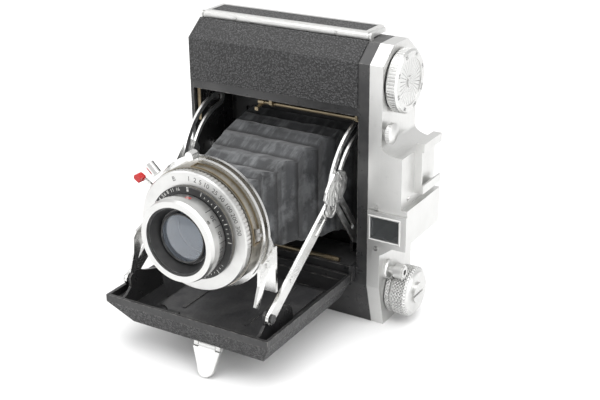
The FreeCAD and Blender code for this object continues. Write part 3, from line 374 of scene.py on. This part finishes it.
def body_finish(name):
    """Black enamel body with leather let into the base side, between its margins."""
    m = Nodes(name)
    x, y, z = m.axes(at(0, 0, 0))
    normal = m.add("ShaderNodeSeparateXYZ")
    m.link(m.add("ShaderNodeNewGeometry").outputs["Normal"], normal.inputs[0])
    side = m.math("MULTIPLY", m.math("LESS_THAN", x, 0.00003), m.math("LESS_THAN", normal.outputs[0], -0.9))
    for low, high, value in ((0.0024, 0.0194, y), (0.0035, 0.1085, z)):
        side = m.math("MULTIPLY", side, m.math("GREATER_THAN", value, low))
        side = m.math("MULTIPLY", side, m.math("LESS_THAN", value, high))
    dust = m.noise(130.0, 5.0)
    worn_off = m.math("MULTIPLY", m.edges(0.4), m.span(m.noise(420.0, 5.0), 0.45, 0.58))
    pebble = m.span(m.cells(1250.0), 0.25, 0.62, 1.0, 0.0)
    paint = m.mix(m.span(dust, 0.4, 0.75, 0.0, 0.6), (0.020, 0.020, 0.021), (0.055, 0.054, 0.053))
    paint = m.mix(worn_off, paint, (0.22, 0.21, 0.20))
    hide = m.mix(pebble, (0.013, 0.013, 0.0135), (0.062, 0.062, 0.064))
    m.colour(m.mix(side, paint, hide))
    m.rough(m.math("ADD", m.span(m.noise(240.0, 4.0), 0.3, 0.75, 0.24, 0.40), m.math("MULTIPLY", side, 0.18)))
    m.bump(m.math("MULTIPLY", pebble, side), 0.16, 0.8)
    m.bump(m.noise(90.0, 3.0), 0.05, 0.3)
    m.bump(m.noise(2600.0, 2.0), 0.010, 0.5)
    return m.mat


def pressed_pad(name):
    """Polished plate with a leafy pressed relief."""
    m = Nodes(name)
    swirl = m.noise(210.0, 1.0, None, 0.4)
    waves = m.math("SINE", m.math("MULTIPLY", swirl, 26.0))
    x, y, z = m.axes(at(0, 0, 0))
    outer = m.math("ADD", m.math("GREATER_THAN", x, 0.0717), m.math("LESS_THAN", x, 0.0051))
    relief = m.math("MULTIPLY", m.span(waves, -0.6, 0.6), outer)
    m.colour(m.mix(m.span(m.noise(180.0, 4.0), 0.4, 0.7, 0.0, 0.25), (0.80, 0.80, 0.79), (0.58, 0.58, 0.57)))
    m.metal(1.0)
    m.rough(m.span(m.noise(500.0, 4.0), 0.3, 0.7, 0.30, 0.42))
    m.bump(relief, 0.14, 0.8)
    m.bump(m.noise(1500.0, 3.0), 0.006, 0.5)
    return m.mat


def finder_finish(name):
    """Satin plate outside and matt black in the finder's tunnel."""
    m = Nodes(name)
    x, y, z = m.axes(at(0, 0, 0))
    inside = m.math("GREATER_THAN", y, -0.0002)
    for low, high, value in ((0.0816, 0.0939, x), (0.0387, 0.0480, z)):
        inside = m.math("MULTIPLY", inside, m.math("GREATER_THAN", value, low))
        inside = m.math("MULTIPLY", inside, m.math("LESS_THAN", value, high))
    cloud = m.noise(90.0, 5.0)
    plate = m.mix(m.span(cloud, 0.4, 0.75, 0.0, 0.15), SATIN, tuple(c * 0.7 for c in SATIN))
    m.colour(m.mix(inside, plate, (0.012, 0.012, 0.013)))
    m.metal(m.math("SUBTRACT", 1.0, inside))
    m.rough(m.math("ADD", m.span(cloud, 0.3, 0.7, 0.28, 0.42), m.math("MULTIPLY", inside, 0.3)))
    m.bump(m.noise(900.0, 4.0, m.scaled(1.0, 1.0, 0.12)), 0.004, 0.8)
    return m.mat


LENS_CENTRE = at(LENS_X, 0.0, LENS_Z)
SATIN = (0.66, 0.66, 0.65)
BRIGHT = (0.70, 0.70, 0.69)
leather_black = leather("leather_black")
leather_door = leather("leather_door", 0.056, 0.013, 1250.0)
paint_edge = black_paint("paint_edge")
paint_door = black_paint("paint_door", 0.016, (0.30, 0.29, 0.27), 0.34, 1.0)
paint_panel = black_paint("paint_panel", 0.040, (0.33, 0.32, 0.30), 0.40, 0.4)
satin_chrome = metal("satin_chrome", SATIN, 0.34, (1.0, 1.0, 0.12), 0.004, 0.10, (0.55, 0.54, 0.52))
bright_chrome = metal("bright_chrome", BRIGHT, 0.20, (1.0, 0.2, 1.0), 0.004, 0.28, (0.42, 0.41, 0.40))
old_brass = metal("old_brass", (0.30, 0.25, 0.17), 0.38, (0.1, 1.0, 1.0), 0.006, 0.7, (0.16, 0.12, 0.08))
old_nickel = metal("old_nickel", (0.40, 0.38, 0.34), 0.30, (1.0, 0.2, 1.0), 0.004, 0.8, (0.13, 0.11, 0.08))
dull_steel = metal("dull_steel", (0.42, 0.42, 0.42), 0.38, (0.1, 1.0, 1.0), 0.006, 0.5)
matt_black = black_paint("matt_black", 0.012, (0.20, 0.20, 0.20), 0.42)
ring_metal = turned("ring_metal", (0.62, 0.62, 0.61), 0.34, LENS_CENTRE, "y", 1900.0, 0.20)
barrel_metal = turned("barrel_metal", (0.62, 0.62, 0.61), 0.34, LENS_CENTRE, "y", 1500.0, 0.12, 0.0102)
coated_glass = glass("coated_glass", (0.70, 0.78, 0.90), 0.92, 0.02)
finder_glass = glass("finder_glass", (0.45, 0.47, 0.48), 0.9, 0.02)
link_metal = metal("link_metal", (0.80, 0.80, 0.79), 0.46, (1.0, 0.3, 0.3), 0.006, 0.3, (0.45, 0.44, 0.42))
bellows_cloth = cloth("bellows_cloth")
black_fill = enamel("black_fill", (0.02, 0.02, 0.022))
white_fill = enamel("white_fill", (0.78, 0.78, 0.75))
red_fill = enamel("red_fill", (0.62, 0.05, 0.04))
red_glass = glass("red_glass", (0.62, 0.03, 0.02), 0.7, 0.03)
dial_face = sunburst("dial_face", SATIN, 0.30, at(87.0, 12.6, 98.0), 0.0086, 30.0)
wind_face = knurled_metal("wind_face", SATIN, 0.28, at(0.0, 14.0, 12.3), 0.0090, 0.0013)
pull_face = knurled_metal("pull_face", SATIN, 0.30, at(0.0, 14.0, 98.8), 0.0048, 0.0010)
red_lever = tipped("red_lever", BRIGHT, (0.42, 0.012, 0.012), LENS_CENTRE, 0.0274)
pad_metal = pressed_pad("pad_metal")
body_black = body_finish("body_black")
finder_finish("finder_metal")

FINISH = {
    "body_black": ["body_shell"],
    "leather_black": ["front_leather", "back_leather", "latch_leather"],
    "leather_door": ["door_leather"],
    "paint_edge": ["back_shell", "back_hinge_pin", "side_brackets", "door_brackets"],
    "paint_door": ["door_shell"],
    "paint_panel": ["door_panel"],
    "satin_chrome": ["top_cover", "accessory_shoe", "release_collar", "release_button",
                     "back_latch", "latch_eyes", "foot", "foot_hinge", "door_button"],
    "bright_chrome": ["standard_plate", "strut_right", "strut_left", "cover_screws",
                      "cocking_lever", "cable_socket", "tripod_bush", "spool_stub"],
    "pad_metal": ["arm_right", "arm_left"],
    "link_metal": ["link_right", "link_left"],
    "finder_metal": ["viewfinder_tube"],
    "old_brass": ["catch_rod", "rod_bearings", "shutter_band", "spring_tube"],
    "old_nickel": ["shutter_housing"],
    "matt_black": ["film_gate", "chamber_walls", "pressure_plate", "shutter_face", "name_ring", "rear_cell",
                   "door_lip", "window_slide", "takeup_spool"],
    "dull_steel": ["roller_upper", "roller_lower", "aperture_pointer"],
    "ring_metal": ["speed_ring"],
    "barrel_metal": ["focus_barrel"],
    "coated_glass": ["front_glass", "rear_glass"],
    "finder_glass": ["viewfinder_lenses"],
    "dial_face": ["dial_knob"],
    "wind_face": ["wind_knob"],
    "pull_face": ["supply_pin"],
    "red_lever": ["trip_lever"],
}
for finish, names in FINISH.items():
    for node in names:
        slots = NODES[node].material_slots
        if not slots:
            NODES[node].data.materials.append(LOOKS[finish])
        for slot in slots:
            slot.material = LOOKS[finish]


# ---- mesh helpers ----
def piece(name, vertices, faces, material, body, smooth=True):
    """Mesh object from points in metres, riding on a body."""
    mesh = bpy.data.meshes.new(name)
    mesh.from_pydata([tuple(v) for v in vertices], [], faces)
    mesh.update()
    mesh.materials.append(material)
    for polygon in mesh.polygons:
        polygon.use_smooth = smooth
    thing = bpy.data.objects.new(name, mesh)
    bpy.context.scene.collection.objects.link(thing)
    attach(thing, body)
    return thing


def grid_faces(rows, columns, closed=True, offset=0):
    faces = []
    for i in range(rows - 1):
        for j in range(columns if closed else columns - 1):
            k = (j + 1) % columns
            a, b = offset + i * columns, offset + (i + 1) * columns
            faces.append((a + j, a + k, b + k, b + j))
    return faces


def turned_piece(name, profile, material, body, steps=96, start=0.0, sweep=360.0):
    """Closed (y, radius) profile turned about the lens axis."""
    closed = abs(sweep - 360.0) < 1e-6
    count = steps if closed else steps + 1
    points = []
    for i in range(count):
        turn = math.radians(start + sweep * i / steps)
        for y, radius in profile:
            points.append(at(LENS_X + radius * math.cos(turn), y, LENS_Z + radius * math.sin(turn)))
    size = len(profile)
    faces = []
    for i in range(steps):
        a, b = i * size, ((i + 1) % count) * size
        for j in range(size):
            k = (j + 1) % size
            faces.append((a + j, b + j, b + k, a + k))
    if not closed:
        faces.append(tuple(range(size)))
        faces.append(tuple(reversed(range((count - 1) * size, count * size))))
    return piece(name, points, faces, material, body, False)


def letters(text, size):
    """Vertices and faces of a flat text, centred, in millimetres."""
    curve = bpy.data.curves.new("lettering", "FONT")
    curve.body = text
    curve.size = size
    curve.align_x = "CENTER"
    curve.align_y = "CENTER"
    curve.resolution_u = 3
    holder = bpy.data.objects.new("lettering", curve)
    bpy.context.scene.collection.objects.link(holder)
    bpy.context.view_layer.update()
    mesh = bpy.data.meshes.new_from_object(holder)
    vertices = [(v.co.x, v.co.y) for v in mesh.vertices]
    faces = [tuple(p.vertices) for p in mesh.polygons]
    bpy.data.objects.remove(holder)
    return vertices, faces


def engraved(name, items, place, material, body):
    """One mesh of several texts; place turns (item, u, v) into a point."""
    vertices = []
    faces = []
    for item in items:
        points, polygons = letters(item[0], item[1])
        start = len(vertices)
        vertices += [place(item, u, v) for u, v in points]
        faces += [tuple(start + i for i in polygon) for polygon in polygons]
    return piece(name, vertices, faces, material, body, False)


# ---- bellows ----
PEAKS = (-42.6, -36.5, -30.0, -20.0, -8.0, 3.0, 13.0, 22.0)
HALF = tuple(zip(PEAKS, (14.4, 15.0, 16.0, 18.3, 20.5, 22.3, 24.6, 27.0)))
TOP = tuple(zip(PEAKS, (67.2, 68.6, 69.8, 70.8, 72.9, 74.6, 74.4, 74.0)))
LOW = tuple(zip(PEAKS, (39.6, 39.6, 38.6, 36.6, 34.4, 32.2, 31.2, 31.0)))


def table(pairs, value):
    for (a, first), (b, second) in zip(pairs, pairs[1:]):
        if value <= b:
            return first + (second - first) * (value - a) / (b - a)
    return pairs[-1][1]


def pleat_ring(y, fold, depth):
    """Outline of one section; fold is 0 on a ridge of the top and 1 in its valley. Sides: the reverse."""
    half, top, low = table(HALF, y), table(TOP, y), table(LOW, y)
    half -= depth * (1.0 - fold)
    top -= depth * fold
    low += depth * fold
    cut = 0.9
    outline = [(LENS_X - half + cut, top), (LENS_X + half - cut, top), (LENS_X + half, top - cut),
               (LENS_X + half, low + cut), (LENS_X + half - cut, low), (LENS_X - half + cut, low),
               (LENS_X - half, low + cut), (LENS_X - half, top - cut)]
    ring = []
    for index, (start, end) in enumerate(zip(outline, outline[1:] + outline[:1])):
        steps = 22 if index % 2 == 0 else 4
        for step in range(steps):
            share = step / steps
            ring.append((start[0] + (end[0] - start[0]) * share, start[1] + (end[1] - start[1]) * share))
    return ring


def make_bellows():
    points = []
    ridges = []
    rows = 0
    for index, (first, second) in enumerate(zip(PEAKS, PEAKS[1:])):
        depth = min(1.9, (second - first) * 0.2)
        steps = 10
        for step in range(steps + (1 if second == PEAKS[-1] else 0)):
            share = step / steps
            fold = (1.0 - abs(2.0 * share - 1.0)) ** 1.1
            y = first + (second - first) * share
            ring = pleat_ring(y, fold, depth)
            middle = (table(TOP, y) + table(LOW, y)) / 2
            for x, z in ring:
                out = Vector((x - LENS_X, 0.0, z - middle))
                out.normalize()
                crumple = noise.noise(Vector((x * 0.22, y * 0.10, z * 0.22))) * 0.26
                crumple += noise.noise(Vector((x * 0.9, y * 0.28, z * 0.9 + 7.0))) * 0.15
                shift = noise.noise(Vector((x * 0.10, index * 3.1, z * 0.10 + 31.0))) * 0.55
                calm = max(0.0, min(1.0, (y - PEAKS[0]) / 6.0, (PEAKS[-1] - y) / 4.0))
                amount = (crumple - 0.2) * calm
                points.append(at(x + out.x * amount, y + shift * calm, z + out.z * amount))
                ridges.append(1.0 - fold)
            rows += 1
    columns = len(points) // rows
    thing = piece("bellows_pleats", points, grid_faces(rows, columns), bellows_cloth, "body")
    # ridge attribute: 1 on fold ridges, 0 in valleys; the cloth uses it for the painted valley shade and the
    # paler ridge patches
    layer = thing.data.attributes.new("ridge", "FLOAT", "POINT")
    layer.data.foreach_set("value", ridges)
    thing.data.set_sharp_from_angle(angle=math.radians(42))
    return thing


bellows = make_bellows()
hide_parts("bellows")
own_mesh(bellows)


# ---- numbers and marks on the lens ----
def around_lens(item, u, v, y):
    """Point of a text that stands round the lens axis with its top outwards."""
    turn = math.radians(item[2])
    radius = item[3] + v
    x = LENS_X + radius * math.cos(turn) + u * math.sin(turn)
    z = LENS_Z + radius * math.sin(turn) - u * math.cos(turn)
    return at(x, y, z)


def on_ring(item, u, v):
    """Flat on the front of the speed ring."""
    return around_lens(item, u, v, RING_FRONT - 0.02)


def on_barrel(item, u, v):
    """Wrapped round the side of the focusing barrel."""
    turn = math.radians(item[2]) + u / BARREL_R
    return at(LENS_X + MARK_R * math.cos(turn), item[3] - v, LENS_Z + MARK_R * math.sin(turn))


SPEEDS = (("B", 111), ("1", 92), ("2", 84.5), ("5", 78), ("10", 70.5), ("25", 59.5), ("50", 50), ("100", 39),
          ("200", 27), ("300", 14))
engraved("speed_numbers", [(text, 2.5, turn, 20.2) for text, turn in SPEEDS], on_ring, black_fill,
         "shutter_speed_ring")
FEET = (("30", 38.0), ("20", 14.5), ("15", -8.0), ("10", -30.0), ("7", -50.0), ("5", -70.0))
engraved("distance_numbers", [(text, 2.5, turn, -58.1) for text, turn in FEET], on_barrel, black_fill,
         "focus_mount")
engraved("distance_far", [("60", 2.3, 84.0, -58.1)], on_barrel, red_fill,
         "focus_mount")


def on_face(item, u, v):
    """Flat on the shutter's front plate."""
    return around_lens(item, u, v, FACE_Y)


APERTURES = (("3.5", 150.0), ("4", 141.0), ("5.6", 132.0), ("8", 124.0), ("11", 116.0), ("16", 107.0))


def strip_marks(name, marks, material, body):
    """Short flat marks: each is (angle, inner or front, outer or rear, width, "barrel" or its y)."""
    points = []
    faces = []
    for turn, near, far, width, kind in marks:
        base = len(points)
        for end in (near, far):
            for side in (-width / 2, width / 2):
                if kind == "barrel":
                    a = math.radians(turn) + side / BARREL_R
                    points.append(at(LENS_X + MARK_R * math.cos(a), end, LENS_Z + MARK_R * math.sin(a)))
                else:
                    a = math.radians(turn)
                    x = LENS_X + end * math.cos(a) - side * math.sin(a)
                    z = LENS_Z + end * math.sin(a) + side * math.cos(a)
                    points.append(at(x, kind, z))
        faces.append((base, base + 1, base + 3, base + 2))
    return piece(name, points, faces, material, body, False)


strip_marks("distance_lines", [(turn, -60.2, -56.0, 0.22, "barrel") for turn in (50, 26, 3, -20, -41, -61)],
            black_fill, "focus_mount")
face_marks = [(turn, 15.9, 17.4 if turn % 24 == 0 else 16.6, 0.2, FACE_Y)
              for turn in (*range(0, 78, 6), *range(-90, -30, 6))]
strip_marks("face_marks", face_marks, white_fill, "lens_standard")
engraved("aperture_numbers", [(text, 1.8, turn, 16.6) for text, turn in APERTURES], on_face, white_fill,
         "lens_standard")
strip_marks("index_mark", [(92.0, 15.9, 17.5, 0.9, FACE_Y - 0.01)], bright_chrome,
            "lens_standard")

# ---- rings and blades in the lens ----
turned_piece("front_retainer",
             [(-60.4, 9.5), (-60.8, 9.4), (-60.95, 9.1), (-60.7, 8.75), (-60.4, 8.8), (-60.1, 9.4)],
             matt_black, "focus_mount")
turned_piece("inner_ring", [(-57.0, 7.7), (-57.1, 9.3), (-56.3, 9.3), (-56.2, 7.7)],
             matt_black, "focus_mount")
turned_piece("bezel_lip",
             [(BEZEL + 0.02, 13.3), (BEZEL + 0.02, 14.4), (BEZEL + 0.35, 14.8), (BEZEL + 0.6, 13.4)],
             barrel_metal, "focus_mount")
turned_piece("strap_band", [(-46.9, 24.2), (-46.9, 24.9), (-45.7, 25.0), (-45.7, 24.3)], bright_chrome,
             "lens_standard", 72, -38.0, 148.0)


def make_blades():
    """Closed five-blade shutter, each blade a curved leaf lapping over the next."""
    points = []
    faces = []
    for blade in range(5):
        start = math.radians(72.0 * blade)
        base = len(points)
        steps = 14
        for i in range(steps + 1):
            share = i / steps
            turn = start + math.radians(96.0) * share
            lift = 0.18 * (1.0 - share)
            for radius in (0.2, 3.2, 6.4, 9.8):
                curl = math.radians(16.0) * (radius / 9.8)
                x = LENS_X + radius * math.cos(turn + curl)
                z = LENS_Z + radius * math.sin(turn + curl)
                points.append(at(x, -48.7 - lift, z))
        for i in range(steps):
            for j in range(3):
                a = base + i * 4 + j
                faces.append((a, a + 1, a + 5, a + 4))
    return piece("shutter_blades", points, faces, blade_steel, "lens_standard")


blade_steel = metal("blade_steel", (0.26, 0.29, 0.34), 0.34, (1.0, 1.0, 0.2), 0.004, 0.3, (0.25, 0.28, 0.33))
make_blades()


# ---- small fittings ----
def bar(name, low, high, ease, material, body):
    """Small block with eased edges, given by two corners in millimetres."""
    shape = bmesh.new()
    bmesh.ops.create_cube(shape, size=1.0)
    size = Vector(high) - Vector(low)
    middle = (Vector(high) + Vector(low)) / 2
    for vertex in shape.verts:
        vertex.co = Vector((vertex.co.x * size.x, vertex.co.y * size.y, vertex.co.z * size.z)) + middle
    bmesh.ops.bevel(shape, geom=shape.edges[:], offset=ease, segments=2, affect="EDGES", profile=0.6)
    points = [at(*v.co) for v in shape.verts]
    faces = [tuple(v.index for v in f.verts) for f in shape.faces]
    shape.free()
    return piece(name, points, faces, material, body, False)


def frame_piece(name, low, high, band, ease, material, body):
    """Raised rectangular frame facing the front, given by two opposite corners."""
    (x0, y0, z0), (x1, y1, z1) = low, high
    points = []
    for y, grow in ((y1, 0.0), (y0 + ease, 0.0), (y0, -ease),
                    (y0, -(band - ease)), (y0 + ease, -band), (y1, -band)):
        points += [at(x0 - grow, y, z0 - grow), at(x1 + grow, y, z0 - grow), at(x1 + grow, y, z1 + grow),
                   at(x0 - grow, y, z1 + grow)]
    faces = grid_faces(6, 4) + [(20, 21, 1, 0), (21, 22, 2, 1), (22, 23, 3, 2), (23, 20, 0, 3)]
    return piece(name, points, faces, material, body, False)


frame_piece("finder_bezel", (81.0, -1.7, 38.1), (94.5, -1.3, 48.6), 0.8, 0.2, satin_chrome,
            "body")
bar("spring_strip", (2.0, 1.4, 72.0), (3.5, 2.0, 85.6), 0.2, old_brass, "body")


def dial_place(item, u, v):
    """Flat on the film dial's outer face."""
    turn = math.radians(item[2])
    radius = item[3] + v
    y = 12.6 + radius * math.cos(turn) - u * math.sin(turn)
    z = 98.0 + radius * math.sin(turn) + u * math.cos(turn)
    return at(90.33, y, z)


FILM_SPEEDS = ("10", "16", "25", "40", "64", "80", "100", "200")
engraved("dial_numbers", [(text, 1.9, 20.0 + 45.0 * i, 10.3) for i, text in enumerate(FILM_SPEEDS)],
         dial_place, black_fill, "film_dial")


def disc_back(name, y, radius, material, body):
    """Lightly domed disc facing the back."""
    points = [at(LENS_X, y + 0.25, LENS_Z)]
    rings = 4
    steps = 40
    for i in range(1, rings + 1):
        r = radius * i / rings
        dome = 0.25 * (1 - (i / rings) ** 2)
        for j in range(steps):
            turn = 2 * math.pi * j / steps
            points.append(at(LENS_X + r * math.cos(turn), y + dome, LENS_Z + r * math.sin(turn)))
    faces = [(0, 1 + j, 1 + (j + 1) % steps) for j in range(steps)]
    faces += grid_faces(rings, steps, True, 1)
    return piece(name, points, faces, material, body)


disc_back("red_window", 27.3, 3.98, red_glass, "back_door")

# ---- floor, light, camera ----
floor_mat = Nodes("floor_white")
floor_tone = floor_mat.span(floor_mat.noise(3.0, 2.0), 0.3, 0.7)
floor_mat.colour(floor_mat.mix(floor_tone, (0.86, 0.86, 0.86), (0.89, 0.89, 0.89)))
floor_mat.rough(0.6)
floor_mesh = bpy.data.meshes.new("floor")
floor_mesh.from_pydata([(-6, -6, 0), (6, -6, 0), (6, 6, 0), (-6, 6, 0)], [], [(0, 1, 2, 3)])
floor_mesh.materials.append(floor_mat.mat)
floor = bpy.data.objects.new("floor", floor_mesh)
bpy.context.scene.collection.objects.link(floor)

world = bpy.data.worlds.new("studio")
world.use_nodes = True
world.node_tree.nodes["Background"].inputs["Color"].default_value = (1.0, 1.0, 1.0, 1.0)
world.node_tree.nodes["Background"].inputs["Strength"].default_value = 0.90
bpy.context.scene.world = world


def softbox(name, place, target, size, power):
    light = bpy.data.lights.new(name, "AREA")
    light.shape = "RECTANGLE"
    light.size, light.size_y = size
    light.energy = power
    holder = bpy.data.objects.new(name, light)
    bpy.context.scene.collection.objects.link(holder)
    holder.location = place
    aim = Vector(target) - Vector(place)
    holder.rotation_euler = aim.to_track_quat("-Z", "Y").to_euler()
    return holder


softbox("light_top", (0.05, -0.10, 0.95), (0.0, 0.0, 0.05), (0.9, 0.9), 7.0)
softbox("light_right", (0.85, -0.15, 0.50), (0.03, 0.0, 0.06), (0.7, 0.8), 4.5)
softbox("light_left", (-0.75, -0.55, 0.45), (0.0, -0.03, 0.05), (0.6, 0.7), 3.0)

turn, rise, roll = math.radians(31.16), math.radians(22.89), math.radians(-0.535)
right = Vector((math.cos(turn), math.sin(turn), 0.0))
ahead = Vector((-math.sin(turn) * math.cos(rise), math.cos(turn) * math.cos(rise), -math.sin(rise)))
up = right.cross(ahead)
rolled = right * math.cos(roll) + up * math.sin(roll)
upright = up * math.cos(roll) - right * math.sin(roll)
lens = bpy.data.cameras.new("camera")
lens.lens = 67.9
lens.sensor_width = 36.0
lens.clip_start = 0.01
camera = bpy.data.objects.new("camera", lens)
bpy.context.scene.collection.objects.link(camera)
basis = Matrix((rolled, upright, -ahead)).transposed().to_4x4()
camera.matrix_world = Matrix.Translation((0.22056, -0.36180, 0.21896)) @ basis
bpy.context.scene.camera = camera
bpy.context.scene.view_settings.view_transform = "Standard"
